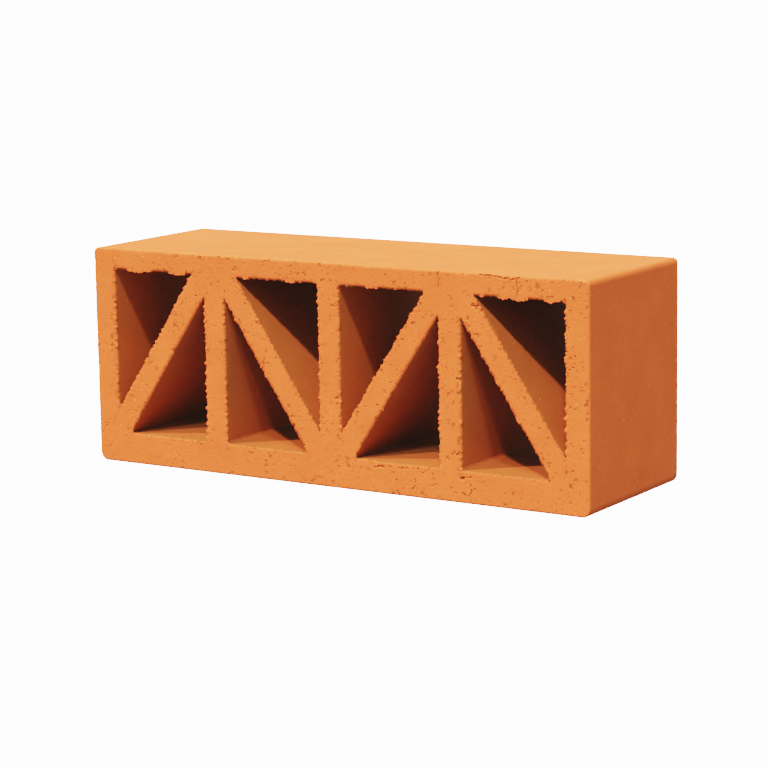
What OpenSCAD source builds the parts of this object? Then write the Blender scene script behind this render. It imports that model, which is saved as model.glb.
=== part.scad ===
// Clay screen brick: one piece of extruded, wire-cut and fired clay.
// Its length lies along X, its triangular cells run right through along Y, and it stands on Z = 0.

/* [Brick] */
// Length along the course
brick_length = 300; // [200:1:420]
// Height from the bottom bed face to the top bed face
brick_height = 116; // [80:1:200]
// Depth between the two wire-cut faces, along the cells
brick_depth = 95; // [40:1:200]
// Radius of the two long edges at the top
top_edge_radius = 3; // [1:0.5:10]
// Radius of the two long edges at the bottom, which settle rounder while the clay is soft
bottom_edge_radius = 4.5; // [1:0.5:10]

/* [Walls and webs] */
// Thickness of the wall at each end
end_wall = 13.5; // [11:0.5:25]
// Thickness of the wall above the cells
top_wall = 11; // [8:0.5:25]
// Thickness of the wall below the cells
bottom_wall = 16.5; // [8:0.5:25]
// Thickness of the upright webs between neighbouring bays
upright_web = 13; // [6:0.5:25]
// Thickness of the diagonal web that crosses each bay
diagonal_web = 13; // [6:0.5:25]

/* [Cells] */
// Number of bays in a row, each holding two triangular cells
bay_count = 4; // [1:1:7]
// Radius in the square corner of each cell
cell_corner_radius = 1.5; // [0.5:0.5:5]

/* [Hidden] */
$fn = 64;
fired_clay = "#E08A48";

// Clear size of one bay between its webs and walls
bay_w = (brick_length - 2 * end_wall - (bay_count - 1) * upright_web) / bay_count;
bay_h = brick_height - top_wall - bottom_wall;
bay_pitch = bay_w + upright_web;

// Half of a bay is a right triangle, and half of the diagonal web comes off its long side
half_bay_altitude = bay_w * bay_h / norm([bay_w, bay_h]);
cell_share = 1 - diagonal_web / 2 / half_bay_altitude;
cell_w = bay_w * cell_share;
cell_h = bay_h * cell_share;

// One band of the brick's face, with a rounded corner at each end of its side that lies on the X axis
module rounded_band(height, radius) {
    straight_w = brick_length - 2 * radius;
    translate([-straight_w / 2, 0])
        square([straight_w, height]);
    translate([-brick_length / 2, radius])
        square([brick_length, height - radius]);
    for (x = [-straight_w / 2, straight_w / 2])
        translate([x, radius])
            circle(r = radius);
}

// Face of the brick, standing on the X axis: a band from below and one from above, each reaching the other's corners
module face_outline() {
    rounded_band(brick_height - top_edge_radius, bottom_edge_radius);
    translate([0, brick_height])
        mirror([0, 1])
            rounded_band(brick_height - bottom_edge_radius, top_edge_radius);
}

// One cell, with its square corner at the origin and its legs along the two axes
module cell() {
    difference() {
        polygon([[0, 0], [cell_w, 0], [0, cell_h]]);
        square(cell_corner_radius);
    }
    translate([cell_corner_radius, cell_corner_radius])
        circle(r = cell_corner_radius);
}

// The two cells of a bay whose diagonal web rises from its lower left to its upper right corner
module bay_cells() {
    translate([0, bay_h])
        mirror([0, 1])
            cell();
    translate([bay_w, 0])
        mirror([1, 0])
            cell();
}

// All cells in their bays, with the diagonals rising and falling by turns
module all_cells() {
    for (bay = [0 : bay_count - 1])
        translate([end_wall - brick_length / 2 + bay * bay_pitch, bottom_wall])
            if (bay % 2 == 0)
                bay_cells();
            else
                translate([bay_w, 0])
                    mirror([1, 0])
                        bay_cells();
}

module brick() {
    color(fired_clay)
        translate([0, brick_depth / 2, 0])
            rotate([90, 0, 0])
                linear_extrude(brick_depth)
                    difference() {
                        face_outline();
                        all_cells();
                    }
}

brick();
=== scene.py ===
"""Looks of a clay screen brick: ragged wire-cut faces, a fired-clay finish and a studio stage.

The brick's own solid is the frame. Its front face is copied, refined and drawn out into a whole brick again,
with the lips, chips and pits that the cutting wire left.
"""

import math

import bmesh
import bpy
from bpy.props import FloatProperty, FloatVectorProperty, PointerProperty
from mathutils import Matrix, Vector, noise
from mathutils.bvhtree import BVHTree
from mathutils.kdtree import KDTree


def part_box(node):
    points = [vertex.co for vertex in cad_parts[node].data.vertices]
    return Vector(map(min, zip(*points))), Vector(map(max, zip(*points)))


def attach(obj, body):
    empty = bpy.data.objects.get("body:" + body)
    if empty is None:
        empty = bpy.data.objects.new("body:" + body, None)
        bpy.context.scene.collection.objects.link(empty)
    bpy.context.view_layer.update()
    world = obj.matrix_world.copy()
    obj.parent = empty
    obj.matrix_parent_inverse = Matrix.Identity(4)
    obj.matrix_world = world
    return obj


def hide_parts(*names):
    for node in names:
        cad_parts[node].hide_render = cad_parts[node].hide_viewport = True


bl_info = {
    "name": "Clay Screen Brick",
    "version": (1, 0, 0),
    "blender": (4, 5, 0),
    "location": "3D View > Sidebar > Screen Brick",
    "description": "Models a fired clay screen brick and the studio stage that it is shown on",
    "category": "Add Mesh",
}

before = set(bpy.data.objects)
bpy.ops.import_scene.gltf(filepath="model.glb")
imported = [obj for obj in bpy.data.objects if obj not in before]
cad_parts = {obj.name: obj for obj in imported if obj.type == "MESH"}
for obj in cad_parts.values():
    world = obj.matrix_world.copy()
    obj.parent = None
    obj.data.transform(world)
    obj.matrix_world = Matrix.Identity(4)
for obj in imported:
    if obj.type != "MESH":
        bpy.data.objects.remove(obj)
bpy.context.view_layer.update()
BRICK_LOW, BRICK_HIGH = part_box("brick")
HALF_DEPTH = (BRICK_HIGH.y - BRICK_LOW.y) / 2

MM = 0.001
MERGE = 0.005 * MM

# Depths of the rows of points behind each wire-cut face, close together where the lips are ragged
ROW_DEPTHS = [d * MM for d in (0.35, 0.8, 1.5, 2.4)] + [HALF_DEPTH]

# An edge of the sheet is split where it is longer than this many steps, in this many rounds at most
SPLIT_LENGTH = 1.4
FACE_ROUNDS = 30
SCAR_ROUNDS = 3

# How far a lip's growth reaches over the face and into its cell, how far its crumbs and its torn ground
# reach over the face, and how far a lip is rounded off
LIP_REACH = 2.4 * MM
LIP_DEPTH = 1.5 * MM
CRUMB_REACH = 1.4 * MM
TORN_REACH = 6 * MM
LIP_ROUNDING = 0.2 * MM

# Wavelengths of the lips' unevenness and of the faces' own, spacings of the crumbs and of the edges' chips
COARSE = 9 * MM
MIDDLE = 3.2 * MM
FINE = 1.3 * MM
FACE_SWELL = 14 * MM
FACE_DIMPLE = 3.5 * MM
LARGE_CRUMBS = 3.7 * MM
SMALL_CRUMBS = 1.7 * MM
EDGE_CHIPS = 5 * MM

# How far apart the slices of noise are that the two wire-cut faces and the layers of unevenness come from
FACE_SLICES = 37.1
LAYER_SLICES = 11.3

# An edge of the brick whose way out of the clay is more upright than this is a top or a bottom one
LEVEL = 0.9

# Edges between faces that turn by more than this stay sharp
SHARP_ANGLE = math.radians(42)

# What each point of the brick belongs to, as shares from 0 to 1 that the clay's material reads. By them it
# paints shade in the cells, on what faces up there and in the scars, and a highlight along the lips
MARKS = ("wire_cut", "in_cell", "on_floor", "near_lip", "scar")

# Way towards each lamp of the row, the angle that it seems wide, in degrees, and the colour of its light
LAMPS = {
    "left_lamp": ((-1, -1, 1.55), 2.5, "warmth"),
    "middle_lamp": ((0.18, -1, 1.55), 2.5, "warmth"),
    "right_lamp": ((0.6, -1, 1.55), 5, "coolness"),
    "far_lamp": ((1.2, -1, 1.55), 9, "coolness"),
    "top_lamp": ((0, 0.15, 1), 20, "warmth"),
}

# How far the floor reaches, in metres, and the camera's film width, in millimetres
FLOOR_REACH = 40
FILM_WIDTH = 36

# How strongly the wire dragged the top lip of each bay, from the left
BAY_DRAGS = (1.0, 0.8, 0.6, 1.3)

# Scars of the front face: half width, depth and points along the brick and up it, all in millimetres, and
# between the sizes and the points the share of its length that a scar is broken up over
SCARS = (
    # Crack along the top edge, over the last bay
    (0.45, 0.7, 0.6, ((89, 116), (95.5, 115.6), (99, 115.5), (104, 114.4), (108, 114.4), (111.5, 115.6))),
    # Hairline from that crack down to the cell's mouth
    (0.3, 0.4, 0.2, ((110.4, 115), (110, 111.5), (110.6, 109), (110.2, 106))),
    # Hairline down the top wall over the third upright web
    (0.3, 0.4, 0.2, ((65.7, 115.6), (65.4, 113), (66, 110), (65.6, 107.5))),
    # Hooked gouge by the pointed end of the last bay's upper cell
    (0.9, 0.5, 0.4, ((84.6, 99.7), (86.2, 99.4), (87.4, 98.2), (88.4, 99.8))),
    # Gash in the lip of the third upright web
    (0.55, 0.8, 1, ((73.4, 63.3), (75.6, 62.7), (77.4, 62.5))),
    # Nick in the top edge over the second bay
    (0.6, 0.7, 1, ((-39.5, 115.9), (-37.5, 115), (-36, 115.9))),
    # Torn row under the floor of the third bay's lower cell
    (0.5, 0.6, 1, ((26.6, 13.3), (29.3, 13.9), (32.6, 13.8))),
    (0.4, 0.5, 1, ((35.3, 14.4), (36.8, 14.1))),
    (0.4, 0.5, 1, ((40.7, 14), (43.5, 14.4), (46.6, 14.5))),
    # Torn patch under the floor of the last bay's lower cell
    (0.9, 0.8, 1, ((77.6, 12.8), (79.6, 12.7))),
    (0.6, 0.7, 1, ((81.2, 13.3), (83.3, 13.6))),
    # Pits one under another on the bottom wall
    (0.5, 0.6, 1, ((39.7, 7.9), (40.2, 6.7))),
    (0.5, 0.6, 1, ((40.5, 3.4), (39.8, 2.2))),
    (0.6, 0.7, 1, ((50.7, 9), (50.3, 7.5))),
    (0.5, 0.6, 1, ((50, 5.9), (49.4, 4.3))),
    (0.4, 0.6, 1, ((83, 10.3), (83.6, 8.9))),
    (0.4, 0.5, 1, ((83.8, 7.4), (83.2, 5.3))),
    # Pits at the foot of the third upright web
    (0.5, 0.6, 1, ((73.7, 25.9), (75.1, 24.2), (76.3, 24.9))),
)
DEEPEST_SCAR = max(depth for _, depth, *_ in SCARS) * MM
LOWEST_SCAR = min(z for *_, points in SCARS for _, z in points) * MM
SCAR_SPAN = max(abs(x - points[0][0]) for *_, points in SCARS for x, _ in points) * MM

# Wavelength and width of the bends that make a scar wander, and the slices of the noise that they come from
BEND_LENGTH = 1.3 * MM
BEND_WIDTH = 0.5 * MM
ASIDE_SLICE = Vector((0, 9.3, 0))
ABOVE_SLICE = Vector((0, 18.7, 0))


def linear(hex_text):
    """Scene-linear red, green and blue of an sRGB colour written as six hex digits."""
    shares = [int(hex_text[i : i + 2], 16) / 255 for i in (0, 2, 4)]
    return tuple(s / 12.92 if s <= 0.04045 else ((s + 0.055) / 1.055) ** 2.4 for s in shares)


def tint(name, description, shares):
    """A colour property that starts from shares of red, green and blue."""
    return FloatVectorProperty(
        name=name, description=description, subtype="COLOR", size=3, min=0, max=1, default=shares
    )


def colour(name, description, hex_text):
    """A colour property that starts from an sRGB hex value."""
    return tint(name, description, linear(hex_text))


def length(name, description, millimetres):
    """A length property that starts from a size in millimetres."""
    return FloatProperty(name=name, description=description, default=millimetres * MM, unit="LENGTH")


def angle(name, description, degrees):
    """An angle property that starts from a turn in degrees."""
    return FloatProperty(name=name, description=description, default=math.radians(degrees), subtype="ANGLE")


def strength(name, description, default):
    """A strength of light."""
    return FloatProperty(name=name, description=description, default=default, min=0)


class BrickSizes(bpy.types.PropertyGroup):
    """Sizes of the wire-cut relief, and the colours of the fired clay."""

    lip_step: length("Lip Step", "Spacing of the points along each cell's mouth", 0.6)
    edge_step: length("Edge Step", "Spacing of the points along the brick's own outline", 1.2)
    face_step: length("Face Step", "Spacing of the points over the wire-cut faces", 1.4)
    scar_step: length("Scar Step", "Spacing of the points along the front face's scars", 0.35)
    drag: length("Drag", "Clay that the wire dragged down over a cell's top lip", 1.7)
    teeth: length("Teeth", "Crumbs that stand out along the upright lips", 1.1)
    crumbs: length("Crumbs", "Height of those crumbs over the face between them", 0.45)
    wear: length("Wear", "Radius that the brick's own wire-cut edges are worn to", 0.9)
    chips: length("Chips", "Depth of the chips along the brick's own edges", 0.8)
    grain: length("Grain", "Depth of the unevenness of the wire-cut faces", 0.2)
    clay: colour("Clay", "Main colour of the fired clay", "CD6138")
    pale_clay: colour("Pale Clay", "Colour of the pale grains", "EBA468")
    # Painted shade: the clay in the cells is given a darker colour in place of their shade
    shaded_cell_clay: colour("Cell Clay", "Colour of the clay inside the cells, which fires darker", "B56539")
    # Painted shade: a dark colour for the pits, tears and scars, in place of the shade in them
    pit_shade: colour("Pit", "Colour in the pits and tears of the wire-cut faces", "5E3E1A")


class StageSizes(bpy.types.PropertyGroup):
    """Where the camera stands, and how strong the studio lights are."""

    azimuth: angle("Azimuth", "Turn of the camera from the front towards the right end", 32.625)
    elevation: angle("Elevation", "Height of the camera above the horizon", 10.127)
    roll: angle("Roll", "Turn of the camera about its own line of sight", -0.927)
    distance: length("Distance", "Distance from the camera to the plane of the brick's foot", 1390.1)
    aside: length("Aside", "How far right of the brick's foot the camera aims", 1.54)
    above: length("Above", "How far above the brick's foot the camera aims", 45.53)
    lens: FloatProperty(name="Lens", description="Focal length in millimetres", default=123.49, unit="CAMERA")
    left_lamp: strength("Left Lamp", "Strength of the lamp on the left", 3.8)
    middle_lamp: strength("Middle Lamp", "Strength of the middle lamp", 2.9)
    right_lamp: strength("Right Lamp", "Strength of the lamp on the right", 1.45)
    far_lamp: strength("Far Lamp", "Strength of the lamp at the far right", 0.12)
    top_lamp: strength("Top Lamp", "Strength of the lamp overhead", 0.75)
    sky: strength("Sky", "Strength of the light from straight above", 1.05)
    sides: strength("Sides", "Strength of the light from all round", 0.27)
    backdrop: strength("Backdrop", "Light that makes the backdrop white to the camera", 8)
    glow: strength("Glow", "Light that makes the floor white to the camera", 6)
    bounce: strength("Bounce", "Light that the floor gives the brick by itself", 0.42)
    warmth: tint("Warmth", "Colour of the lamps on the left and overhead", (1, 0.805, 0.75))
    coolness: tint("Coolness", "Colour of the lamps on the right and of the light all round", (0.73, 1, 1))
    haze: tint("Haze", "Stray light in the lens, which lifts the darks", (0.013, 0.02, 0.018))
    floor: colour("Floor", "Colour of the lamps' light that the floor gives back to the brick", "3C3E3E")


def rim_loops(bm):
    """The closed rims of a flat sheet, each as its vertices in order."""
    edges = [e for e in bm.edges if e.is_boundary]
    rim = set(edges)
    loops = []
    for first in edges:
        if first not in rim:
            continue
        rim.discard(first)
        start, here = first.verts
        loop = [start]
        while here != start:
            loop.append(here)
            edge = next(e for e in here.link_edges if e in rim)
            rim.discard(edge)
            here = edge.other_vert(here)
        loops.append(loop)
    return loops


def outline_of(loops):
    """The rim that is the brick's own outline: the longest one."""
    return max(loops, key=lambda loop: max(v.co.x for v in loop) - min(v.co.x for v in loop))


def front_sheet(node):
    """The front wire-cut face of a CAD node, as one flat merged sheet."""
    bm = bmesh.new()
    bm.from_mesh(node.data)
    bmesh.ops.remove_doubles(bm, verts=bm.verts, dist=MERGE)
    front = min(v.co.y for v in bm.verts)
    behind = [f for f in bm.faces if max(v.co.y for v in f.verts) > front + MERGE]
    bmesh.ops.delete(bm, geom=behind, context="FACES")
    return bm


def refine(bm, lip_step, edge_step, face_step):
    """Divides the sheet's rims evenly, then splits its triangles' longest edges down to the face's step."""
    outline = set(outline_of(rim_loops(bm)))
    for edge in [e for e in bm.edges if e.is_boundary]:
        step = edge_step if edge.verts[0] in outline else lip_step
        cuts = round(edge.calc_length() / step) - 1
        if cuts > 0:
            bmesh.ops.subdivide_edges(bm, edges=[edge], cuts=cuts)
    bmesh.ops.triangulate(bm, faces=bm.faces)
    for _ in range(FACE_ROUNDS):
        inner_edges = [e for e in bm.edges if not e.is_boundary]
        bmesh.ops.beautify_fill(bm, faces=bm.faces, edges=inner_edges)
        inner_verts = [v for v in bm.verts if not v.is_boundary]
        bmesh.ops.smooth_vert(bm, verts=inner_verts, factor=0.5, use_axis_x=True, use_axis_z=True)
        # A dict keeps the edges in the order of the faces, where a set would change it from run to run
        longest = dict.fromkeys(max(f.edges, key=bmesh.types.BMEdge.calc_length) for f in bm.faces)
        long_edges = [e for e in longest if not e.is_boundary and e.calc_length() > SPLIT_LENGTH * face_step]
        if not long_edges:
            break
        bmesh.ops.subdivide_edges(bm, edges=long_edges, cuts=1)
        bmesh.ops.triangulate(bm, faces=bm.faces)


def ramp(low, high, value):
    """Smooth step from 0 at the low value to 1 at the high value."""
    share = min(1, max(0, (value - low) / (high - low)))
    return share * share * (3 - 2 * share)


def scar_at(place, margin=0):
    """Depth share and depth, in metres, of the scar at a place of the front face. A margin widens scars."""
    deepest = 0, 0
    spot = Vector((place.x, 0, place.z)) / BEND_LENGTH
    aside = noise.noise(spot + ASIDE_SLICE) * BEND_WIDTH
    above = noise.noise(spot + ABOVE_SLICE) * BEND_WIDTH
    bent = Vector((place.x + aside, place.z + above))
    gaps = 0 if margin else 1 - ramp(-0.3, 0.2, noise.noise(spot))
    for half_width, depth, broken, points in SCARS:
        reach = half_width * MM + margin
        if abs(place.x - points[0][0] * MM) > SCAR_SPAN + reach:
            continue
        for first, second in zip(points, points[1:]):
            start = Vector(first) * MM
            way = Vector(second) * MM - start
            off = bent - start
            share = min(1, max(0, off.dot(way) / way.length_squared))
            gap = (off - way * share).length
            deepest = max(deepest, ((1 - broken * gaps) * (1 - gap / reach), depth * MM))
    return deepest


def refine_scars(bm, step):
    """Splits the sheet's triangles along the scars down to a finer step."""
    for _ in range(SCAR_ROUNDS):
        long_edges = []
        for edge in bm.edges:
            middle = (edge.verts[0].co + edge.verts[1].co) / 2
            if edge.is_boundary or middle.z <= LOWEST_SCAR - step:
                continue
            if edge.calc_length() > SPLIT_LENGTH * step and scar_at(middle, step)[0] > 0:
                long_edges.append(edge)
        bmesh.ops.subdivide_edges(bm, edges=long_edges, cuts=1)
        bmesh.ops.triangulate(bm, faces=bm.faces)
        inner_edges = [e for e in bm.edges if not e.is_boundary]
        bmesh.ops.beautify_fill(bm, faces=bm.faces, edges=inner_edges)


def draw_out(bm):
    """Extrudes the sheet's rims back to the brick's middle, a row at a time, and mirrors the half."""
    rim = [e for e in bm.edges if e.is_boundary]
    for depth in ROW_DEPTHS:
        made = bmesh.ops.extrude_edge_only(bm, edges=rim)["geom"]
        for v in made:
            if isinstance(v, bmesh.types.BMVert):
                v.co.y = depth - HALF_DEPTH
        rim = [e for e in made if isinstance(e, bmesh.types.BMEdge) and e.is_boundary]
    half = bm.verts[:] + bm.edges[:] + bm.faces[:]
    bmesh.ops.mirror(bm, geom=half, axis="Y", merge_dist=MERGE)
    bmesh.ops.recalc_face_normals(bm, faces=bm.faces)


class RimPoint:
    """A point on a rim: its place, the way out of the clay, its loop, its travel and the room ahead of it."""

    def __init__(self, vert, before, after, loop, travel, is_outline):
        self.place = vert.co.copy()
        along = (after.co - before.co).normalized()
        self.out = Vector((along.z, 0, -along.x))
        clay = sum((f.calc_center_median() for f in vert.link_faces), Vector()) / len(vert.link_faces)
        if (clay - vert.co).dot(self.out) > 0:
            self.out.negate()
        self.loop = loop
        self.travel = travel
        self.is_outline = is_outline
        self.room = math.inf


def rim_points(bm):
    """Every point of the sheet's rims, loop by loop."""
    loops = rim_loops(bm)
    outline = outline_of(loops)
    found = []
    for number, loop in enumerate(loops):
        points = []
        travel = 0
        for i, vert in enumerate(loop):
            before, after = loop[i - 1], loop[(i + 1) % len(loop)]
            travel += (vert.co - before.co).length
            points.append(RimPoint(vert, before, after, number, travel, loop is outline))
        found.append(points)
    return found


def measure_room(bm, loops):
    """Finds how far each mouth's rim can grow before it meets the other side of its cell."""
    walls = BVHTree.FromBMesh(bm)
    start_off = 0.01 * MM
    for loop in loops:
        found = []
        for point in loop:
            start = Vector((point.place.x, 0, point.place.z)) + point.out * start_off
            hit = walls.ray_cast(start, point.out)[3]
            found.append(math.inf if hit is None else hit)
        for i, point in enumerate(loop):
            point.room = min(found[i - 1], found[i], found[(i + 1) % len(loop)])


def ripple(place, side, wavelength, layer):
    """Smooth noise from about -1 to 1, from a slice of its own for each wire-cut face and each layer."""
    slice_at = FACE_SLICES * side + LAYER_SLICES * layer
    return noise.noise(Vector((place.x / wavelength, slice_at, place.z / wavelength)))


def chance(number, layer):
    """A fixed random share from 0 to 1 for a whole number."""
    return 0.5 + 0.5 * noise.cell(Vector((number + 0.5, layer + 0.5, 0.5)))


def crumbs_at(travel, spacing, layer):
    """Height share of the crumbs along a lip, from 0 up: round lumps of uneven size with gaps between."""
    number = math.floor(travel / spacing)
    highest = 0
    for n in (number - 1, number, number + 1):
        middle = (n + 0.15 + 0.7 * chance(n, layer)) * spacing
        reach = (0.2 + 0.25 * chance(n, layer + 1)) * spacing
        height = max(0, 1.5 * chance(n, layer + 2) - 0.4)
        highest = max(highest, height * (1 - ((travel - middle) / reach) ** 2))
    return highest


def edge_growth(point, side, sizes):
    """How far the brick's own edge grew at a point, in metres. It is below 0, because edges wear and chip."""
    coarse = ripple(point.place, side, COARSE, 1)
    middle = ripple(point.place, side, MIDDLE, 2)
    fine = ripple(point.place, side, FINE, 3)
    is_top = point.out.z > LEVEL
    is_bottom = point.out.z < -LEVEL
    chips = 1.3 * max(0, coarse - 0.3) + 0.5 * max(0, middle - 0.25)
    chips += 1.3 * is_top * crumbs_at(point.travel, EDGE_CHIPS, 400 * side) ** 2
    chips *= 0.1 if is_bottom else 0.3 if side > 0 else 1
    wear = sizes.wear * (0.25 if is_bottom else 1)
    return -wear * (0.8 + 0.25 * middle + 0.15 * fine) - sizes.chips * chips


def lip_growth(point, side, sizes):
    """How far the wire dragged clay over a cell's rim, in metres, and the share its crumbs stand proud by."""
    place = point.place
    coarse = ripple(place, side, COARSE, 1)
    middle = ripple(place, side, MIDDLE, 2)
    fine = ripple(place, side, FINE, 3)
    layer = 20 + 10 * point.loop + 200 * side
    large = crumbs_at(point.travel, LARGE_CRUMBS, layer)
    small = crumbs_at(point.travel, SMALL_CRUMBS, layer + 5)

    # Shares of a top lip and of an upright one. The rest is a floor's or a diagonal's
    hanging = ramp(0.62, 0.9, -point.out.z)
    upright = ramp(0.88, 0.97, abs(point.out.x))

    # A top lip hangs down in rags, but not into the pointed end of its cell
    along = (place.x - BRICK_LOW.x) / (BRICK_HIGH.x - BRICK_LOW.x)
    bay = min(len(BAY_DRAGS) - 1, int(along * len(BAY_DRAGS)))
    dragged = BAY_DRAGS[bay] * (0.25 + 0.75 * coarse + 0.45 * middle)
    dragged += 0.35 * fine + 0.3 * small + 0.2 * large - 0.12
    dragged *= ramp(1.5 * MM, 8 * MM, point.room)

    # An upright lip has teeth, which stand out less where it faces right
    toothed = 0.75 * large + 0.5 * small - 0.15 + 0.25 * fine
    if point.out.x > 0:
        toothed -= 0.2

    # A diagonal lip is sawn, except where it faces down to the right, and has a burr here and there
    slant = abs(point.out.z)
    sawn = 1
    if point.out.z > 0 or point.out.x < 0:
        sawn += 0.7 * (ramp(0.3, 0.5, slant) - ramp(0.6, 0.9, slant))
    wobbled = sawn * (0.4 * middle + 0.45 * fine + 0.35 * small - 0.1)
    burred = 0.9 * max(0, large - 0.75) * (point.out.z < 0)

    growth = hanging * sizes.drag * dragged + upright * sizes.teeth * toothed
    growth += (1 - hanging - upright) * MM * (wobbled + burred)
    growth = min(growth, 0.42 * point.room)

    # The two sides of a lower cell's pointed ends are smeared together
    if place.z < (BRICK_LOW.z + BRICK_HIGH.z) / 2:
        closing = 1 - ramp(1.6 * MM, 2.8 * MM, point.room)
        growth += (0.485 * point.room - growth) * closing
    return growth, 1 - upright * (1 - max(large, 0.7 * small))


def rim_growth(point, side, sizes):
    """Growth of a rim, in metres, and the share that its crumbs stand proud by."""
    if point.is_outline:
        return edge_growth(point, side, sizes), 1
    return lip_growth(point, side, sizes)


def face_relief(place, side, sizes):
    """How far a wire-cut face lies behind its flat plane, in metres."""
    swell = ripple(place, side, FACE_SWELL, 4)
    dimple = ripple(place, side, FACE_DIMPLE, 5)
    rough = 0.5 + 0.35 * swell + 0.35 * dimple
    return sizes.grain * max(0, rough)


def worn_back(depth, radius):
    """How far a round worn edge stands back at a depth behind the wire-cut face: a quarter circle."""
    if depth >= radius:
        return 0
    return math.sqrt(radius**2 - (radius - depth) ** 2) - radius


def roughen(bm, loops, sizes):
    """Moves the points of the wire-cut faces and of the lips behind them, and marks what each belongs to."""
    rims = [point for loop in loops for point in loop]
    tree = KDTree(len(rims))
    for i, point in enumerate(rims):
        tree.insert((point.place.x, 0, point.place.z), i)
    tree.balance()
    growths = {side: [rim_growth(point, side, sizes) for point in rims] for side in (-1, 1)}
    wire_cut, in_cell, on_floor, near_lip, scar = [bm.verts.layers.float.new(name) for name in MARKS]
    for v in bm.verts:
        depth = HALF_DEPTH - abs(v.co.y)
        _, i, aside = tree.find((v.co.x, 0, v.co.z))
        rim = rims[i]
        on_face = depth < MERGE
        v[wire_cut] = on_face
        # The shares in a cell and on a cell's floor place painted shade in the clay's material
        v[in_cell] = not on_face and not rim.is_outline
        v[on_floor] = ramp(0.2, 0.6, rim.out.z) * (not rim.is_outline) * (not on_face or aside < MERGE)
        v[near_lip] = on_face * (0.85 if rim.is_outline else 1) * max(0, 1 - aside / TORN_REACH)
        if depth > LIP_DEPTH + MERGE:
            continue
        side = -1 if v.co.y < 0 else 1
        sunk = face_relief(v.co, side, sizes)
        if on_face and side < 0:
            share, scar_depth = scar_at(v.co)
            v[scar] = share * scar_depth / DEEPEST_SCAR
            sunk += share * scar_depth
        near = max(0, 1 - depth / LIP_DEPTH - aside / LIP_REACH)
        move, stand = growths[side][i]
        if rim.is_outline and not on_face:
            v.co += rim.out * worn_back(depth, -move)
        else:
            v.co += rim.out * move * near
        if not rim.is_outline:
            sunk += LIP_ROUNDING * near**4 * (rim.out.z < 0.3)
            sunk += sizes.crumbs * (1 - stand) * max(0, 1 - aside / CRUMB_REACH)
        v.co.y -= side * sunk * max(0, 1 - depth / LIP_DEPTH)


def add_node(tree, kind, inputs=(), **settings):
    """Adds a node with its settings. An input is a value, a socket, or a node for its first output."""
    node = tree.nodes.new(kind)
    for name, value in settings.items():
        setattr(node, name, value)
    for key, value in dict(inputs).items():
        if isinstance(value, bpy.types.Node):
            value = value.outputs[0]
        if isinstance(value, bpy.types.NodeSocket):
            tree.links.new(value, node.inputs[key])
        else:
            node.inputs[key].default_value = value
    return node


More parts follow.
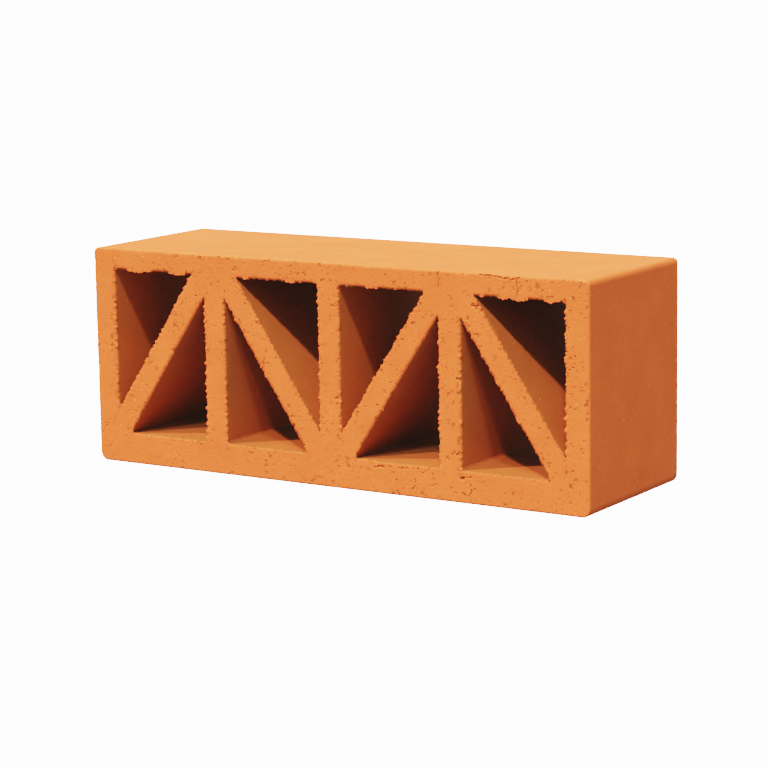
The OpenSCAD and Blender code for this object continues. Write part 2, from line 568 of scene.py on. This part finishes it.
def fired_clay(sizes):
    """Fired clay, matt and sandy with soft clouds, and painted shade in its cells. Its wire-cut faces have
    pits, tears and pale grains, with painted shade in the pits and a painted highlight along the lips.

    Sockets by number: Map Range has 0 the value, 1 and 2 the range it comes from and 3 and 4 the one it goes
    to. Mix has 0 the share and 6 and 7 the two colours, with the mixed colour as output 2.
    """
    material = bpy.data.materials.new("fired_clay")
    material.use_nodes = True
    tree = material.node_tree
    place = add_node(tree, "ShaderNodeTexCoord").outputs["Object"]
    wire_cut, in_cell, on_floor, near_lip, scar = [
        add_node(tree, "ShaderNodeAttribute", attribute_name=name).outputs["Fac"] for name in MARKS
    ]

    # Soft clouds of paler and deeper clay, as wide as two webs
    clouds = {"Vector": place, "Scale": 1 / (24 * MM), "Detail": 5, "Roughness": 0.6}
    cloud = add_node(tree, "ShaderNodeTexNoise", clouds)
    cloud_tone = add_node(tree, "ShaderNodeMapRange", {0: cloud, 1: 0.3, 2: 0.7, 3: 0.93, 4: 1.07})

    # Sand grains of about 0.3 mm, drawn at 1.1 mm so that they show
    sand = add_node(tree, "ShaderNodeTexNoise", {"Vector": place, "Scale": 1 / (1.1 * MM), "Detail": 2})
    sand_tone = add_node(tree, "ShaderNodeMapRange", {0: sand, 1: 0.25, 2: 0.75, 3: 0.9, 4: 1.1})

    # Patches of torn clay about 13 mm wide, more of them along the lips and towards the right end
    patch = add_node(tree, "ShaderNodeTexNoise", {"Vector": place, "Scale": 1 / (13 * MM), "Detail": 2})
    crowded = add_node(tree, "ShaderNodeMath", {0: near_lip, 1: 0.18, 2: patch}, operation="MULTIPLY_ADD")
    along = add_node(tree, "ShaderNodeSeparateXYZ", {0: place})
    rightwards = {0: along.outputs["X"], 1: 0.04 / BRICK_HIGH.x, 2: crowded}
    busier = add_node(tree, "ShaderNodeMath", rightwards, operation="MULTIPLY_ADD")
    patches = add_node(tree, "ShaderNodeMapRange", {0: busier, 1: 0.47, 2: 0.62, 3: 0.25, 4: 1})

    # Tears about 3 mm apart, and pits of 0.5 to 1.5 mm as far apart, their outlines bent by 1.2 mm waves
    tear = add_node(tree, "ShaderNodeTexNoise", {"Vector": place, "Scale": 1 / (3 * MM), "Detail": 4})
    tears = add_node(tree, "ShaderNodeMapRange", {0: tear, 1: 0.58, 2: 0.74, 3: 0, 4: 0.6})
    wave = add_node(tree, "ShaderNodeTexNoise", {"Vector": place, "Scale": 1 / (1.2 * MM)})
    sway = {0: wave.outputs["Color"], 1: (2 * MM,) * 3, 2: place}
    bent = add_node(tree, "ShaderNodeVectorMath", sway, operation="MULTIPLY_ADD")
    cells = add_node(tree, "ShaderNodeTexVoronoi", {"Vector": bent, "Scale": 1 / (3 * MM)})
    hole = {0: cells.outputs["Distance"], 1: 0.09, 2: 0.29, 3: 1, 4: 0}
    holes = add_node(tree, "ShaderNodeMapRange", hole, interpolation_type="SMOOTHSTEP")
    luck = add_node(tree, "ShaderNodeMapRange", {0: cells.outputs["Color"], 1: 0.5, 2: 0.8})
    lucky_holes = add_node(tree, "ShaderNodeMath", {0: holes, 1: luck}, operation="MULTIPLY")
    torn = add_node(tree, "ShaderNodeMath", {0: lucky_holes, 1: tears}, operation="MAXIMUM")
    patchy = add_node(tree, "ShaderNodeMath", {0: torn, 1: patches}, operation="MULTIPLY")
    scarred = add_node(tree, "ShaderNodeMath", {0: patchy, 1: scar}, operation="MAXIMUM")
    pits = add_node(tree, "ShaderNodeMath", {0: scarred, 1: wire_cut}, operation="MULTIPLY")

    # Pale grains of limestone, about 0.6 mm, in loose flocks
    stones = add_node(tree, "ShaderNodeTexVoronoi", {"Vector": place, "Scale": 1 / (5.5 * MM)})
    near_stone = {0: stones.outputs["Distance"], 1: 0.04, 2: 0.12, 3: 0.4, 4: 0}
    stone = add_node(tree, "ShaderNodeMapRange", near_stone)
    flocks = add_node(tree, "ShaderNodeMapRange", {0: patch, 1: 0.44, 2: 0.6})
    grains = add_node(tree, "ShaderNodeMath", {0: stone, 1: flocks}, operation="MULTIPLY")

    # Painted highlight: pale specks along the lips of the cells, where light catches their crumbs
    lip_highlight = add_node(tree, "ShaderNodeMapRange", {0: sand, 1: 0.48, 2: 0.64, 3: 0, 4: 0.22})
    lip = add_node(tree, "ShaderNodeMapRange", {0: near_lip, 1: 0.87, 2: 1})
    crumbs = add_node(tree, "ShaderNodeMath", {0: lip_highlight, 1: lip}, operation="MULTIPLY")
    # The paler of the limestone grains and the painted lip highlight
    pale = add_node(tree, "ShaderNodeMath", {0: grains, 1: crumbs}, operation="MAXIMUM")

    # Clay with painted shade: darker in the cells and darker still on what faces up there, with clouds, sand,
    # pale grains, a painted highlight along the lips and painted shade in the pits
    mixed = {"data_type": "RGBA"}
    multiplied = {"data_type": "RGBA", "blend_type": "MULTIPLY"}
    # Painted shade: the clay in the cells is mixed towards a darker colour
    clays = {0: in_cell, 6: (*sizes.clay, 1), 7: (*sizes.shaded_cell_clay, 1)}
    clay = add_node(tree, "ShaderNodeMix", clays, **mixed).outputs[2]
    clouded = add_node(tree, "ShaderNodeMix", {0: 1, 6: clay, 7: cloud_tone}, **multiplied).outputs[2]
    # Painted shade: what faces up in the cells is darkened to 0.69 of its colour
    painted_floor_shade = add_node(tree, "ShaderNodeMapRange", {0: on_floor, 3: 1, 4: 0.69})
    floor_shaded = add_node(tree, "ShaderNodeMix", {0: 1, 6: clouded, 7: painted_floor_shade}, **multiplied).outputs[2]
    sandy = add_node(tree, "ShaderNodeMath", {0: wire_cut, 1: 0.5, 2: 0.5}, operation="MULTIPLY_ADD")
    sanded = add_node(tree, "ShaderNodeMix", {0: sandy, 6: floor_shaded, 7: sand_tone}, **multiplied).outputs[2]
    pale_clay = {0: pale, 6: sanded, 7: (*sizes.pale_clay, 1)}
    grained = add_node(tree, "ShaderNodeMix", pale_clay, **mixed).outputs[2]
    # Painted shade: the pits, tears and scars of the wire-cut faces are mixed towards a dark colour
    pit_shaded = add_node(tree, "ShaderNodeMix", {0: pits, 6: grained, 7: (*sizes.pit_shade, 1)}, **mixed).outputs[2]

    # The wire-cut faces are rougher than the extruded ones, and their pits are up to 0.7 mm deep
    rough = add_node(tree, "ShaderNodeMath", {0: wire_cut, 1: 0.2, 2: 0.7}, operation="MULTIPLY_ADD")
    sand_depth = add_node(tree, "ShaderNodeMath", {0: wire_cut, 1: 0.06, 2: 0.04}, operation="MULTIPLY_ADD")
    sand_height = add_node(tree, "ShaderNodeMath", {0: sand, 1: sand_depth}, operation="MULTIPLY")
    height = add_node(tree, "ShaderNodeMath", {0: pits, 1: -0.7, 2: sand_height}, operation="MULTIPLY_ADD")
    bump = add_node(tree, "ShaderNodeBump", {"Height": height, "Distance": MM, "Strength": 1})
    shader = tree.nodes["Principled BSDF"]
    shader.inputs["Specular IOR Level"].default_value = 0.08
    tree.links.new(pit_shaded, shader.inputs["Base Color"])
    tree.links.new(rough.outputs[0], shader.inputs["Roughness"])
    tree.links.new(bump.outputs[0], shader.inputs["Normal"])
    return material


class BRICK_OT_model(bpy.types.Operator):
    """Models the brick with the relief of its wire-cut faces, in place of its plain solid"""

    bl_idname = "screen_brick.model"
    bl_label = "Model Brick"

    def execute(self, context):
        sizes = context.scene.screen_brick
        bm = front_sheet(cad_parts["brick"])
        refine(bm, sizes.lip_step, sizes.edge_step, sizes.face_step)
        refine_scars(bm, sizes.scar_step)
        loops = rim_points(bm)
        draw_out(bm)
        measure_room(bm, loops)
        roughen(bm, loops, sizes)
        mesh = bpy.data.meshes.new("clay_brick")
        bm.to_mesh(mesh)
        bm.free()
        mesh.shade_smooth()
        mesh.set_sharp_from_angle(angle=SHARP_ANGLE)
        mesh.materials.append(fired_clay(sizes))
        brick = bpy.data.objects.new("clay_brick", mesh)
        context.collection.objects.link(brick)
        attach(brick, "root")
        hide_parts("brick")
        return {"FINISHED"}


def pale_paper(sizes):
    """Uncoated paper: matt all over. It glows white to the camera, and lights the brick's foot softly."""
    material = bpy.data.materials.new("pale_paper")
    material.use_nodes = True
    tree = material.node_tree
    shader = tree.nodes["Principled BSDF"]
    shader.inputs["Base Color"].default_value = (*sizes.floor, 1)
    shader.inputs["Roughness"].default_value = 1
    shader.inputs["Specular IOR Level"].default_value = 0
    shader.inputs["Emission Color"].default_value = (1, 1, 1, 1)
    path = add_node(tree, "ShaderNodeLightPath")
    glow = {0: path.outputs["Is Camera Ray"], 1: sizes.glow, 2: sizes.bounce}
    glows = add_node(tree, "ShaderNodeMath", glow, operation="MULTIPLY_ADD")
    tree.links.new(glows.outputs[0], shader.inputs["Emission Strength"])
    return material


def add_floor(context, sizes):
    """The pale floor that the brick stands on."""
    bm = bmesh.new()
    bmesh.ops.create_grid(bm, x_segments=1, y_segments=1, size=FLOOR_REACH)
    mesh = bpy.data.meshes.new("floor")
    bm.to_mesh(mesh)
    bm.free()
    mesh.materials.append(pale_paper(sizes))
    floor = bpy.data.objects.new("floor", mesh)
    floor.visible_glossy = False
    context.collection.objects.link(floor)


def studio_world(sizes):
    """Soft light all round, stronger from above, with a white backdrop for the camera."""
    world = bpy.data.worlds.new("studio")
    world.use_nodes = True
    tree = world.node_tree
    dome = tree.nodes["Background"]
    dome.inputs["Color"].default_value = (*sizes.coolness, 1)
    way = add_node(tree, "ShaderNodeTexCoord")
    height = add_node(tree, "ShaderNodeSeparateXYZ", {0: way.outputs["Generated"]})
    brighter = add_node(tree, "ShaderNodeMapRange", {0: height.outputs["Z"], 3: sizes.sides, 4: sizes.sky})
    tree.links.new(brighter.outputs[0], dome.inputs["Strength"])
    white = add_node(tree, "ShaderNodeBackground", {"Color": (1, 1, 1, 1), "Strength": sizes.backdrop})
    path = add_node(tree, "ShaderNodeLightPath")
    shown = {0: path.outputs["Is Camera Ray"], 1: dome.outputs[0], 2: white}
    mix = add_node(tree, "ShaderNodeMixShader", shown)
    tree.links.new(mix.outputs[0], tree.nodes["World Output"].inputs["Surface"])
    return world


def add_lamps(context, sizes):
    """The row of lamps in front of the brick, and the one overhead."""
    for name, (towards, spread, tint_name) in LAMPS.items():
        light = bpy.data.lights.new(name, "SUN")
        light.energy = getattr(sizes, name)
        light.color = getattr(sizes, tint_name)
        light.angle = math.radians(spread)
        lamp = bpy.data.objects.new(name, light)
        lamp.rotation_euler = Vector(towards).to_track_quat("Z", "Y").to_euler()
        context.collection.objects.link(lamp)


def add_camera(context, sizes):
    """The camera, turned, lifted and rolled about the middle of the brick's foot, then slid to its aim."""
    turn, lift, roll = sizes.azimuth, sizes.elevation, sizes.roll
    back = Vector((math.sin(turn) * math.cos(lift), -math.cos(turn) * math.cos(lift), math.sin(lift)))
    right = Vector((math.cos(turn), math.sin(turn), 0))
    up = back.cross(right)
    rolled_right = right * math.cos(roll) + up * math.sin(roll)
    rolled_up = up * math.cos(roll) - right * math.sin(roll)
    camera = bpy.data.cameras.new("camera")
    camera.lens = sizes.lens
    camera.sensor_width = FILM_WIDTH
    view = bpy.data.objects.new("camera", camera)
    place = back * sizes.distance + rolled_right * sizes.aside + rolled_up * sizes.above
    facing = Matrix((rolled_right, rolled_up, back)).transposed().to_4x4()
    view.matrix_world = Matrix.Translation(place) @ facing
    context.collection.objects.link(view)
    context.scene.camera = view


class BRICK_OT_stage(bpy.types.Operator):
    """Sets up the pale floor, the studio lights and the camera"""

    bl_idname = "screen_brick.stage"
    bl_label = "Set Stage"

    def execute(self, context):
        sizes = context.scene.screen_brick_stage
        film = context.scene.view_settings
        film.view_transform = "Filmic"
        film.look = "Very High Contrast"
        film.use_curve_mapping = True
        film.curve_mapping.black_level = [-share for share in sizes.haze]
        film.curve_mapping.update()
        add_floor(context, sizes)
        context.scene.world = studio_world(sizes)
        add_lamps(context, sizes)
        add_camera(context, sizes)
        return {"FINISHED"}


class BRICK_PT_sidebar(bpy.types.Panel):
    """The sizes and colours of the brick and its stage, each over the operator that uses them"""

    bl_idname = "BRICK_PT_sidebar"
    bl_label = "Screen Brick"
    bl_space_type = "VIEW_3D"
    bl_region_type = "UI"
    bl_category = "Screen Brick"

    def draw(self, context):
        scene = context.scene
        groups = (scene.screen_brick, BRICK_OT_model), (scene.screen_brick_stage, BRICK_OT_stage)
        for group, operator in groups:
            column = self.layout.column()
            for name in type(group).__annotations__:
                column.prop(group, name)
            column.operator(operator.bl_idname)


CLASSES = (BrickSizes, StageSizes, BRICK_OT_model, BRICK_OT_stage, BRICK_PT_sidebar)


def register():
    for cls in CLASSES:
        bpy.utils.register_class(cls)
    bpy.types.Scene.screen_brick = PointerProperty(type=BrickSizes)
    bpy.types.Scene.screen_brick_stage = PointerProperty(type=StageSizes)


def unregister():
    del bpy.types.Scene.screen_brick_stage
    del bpy.types.Scene.screen_brick
    for cls in reversed(CLASSES):
        bpy.utils.unregister_class(cls)


def main():
    register()
    bpy.ops.screen_brick.model()
    bpy.ops.screen_brick.stage()


if __name__ == "__main__":
    main()
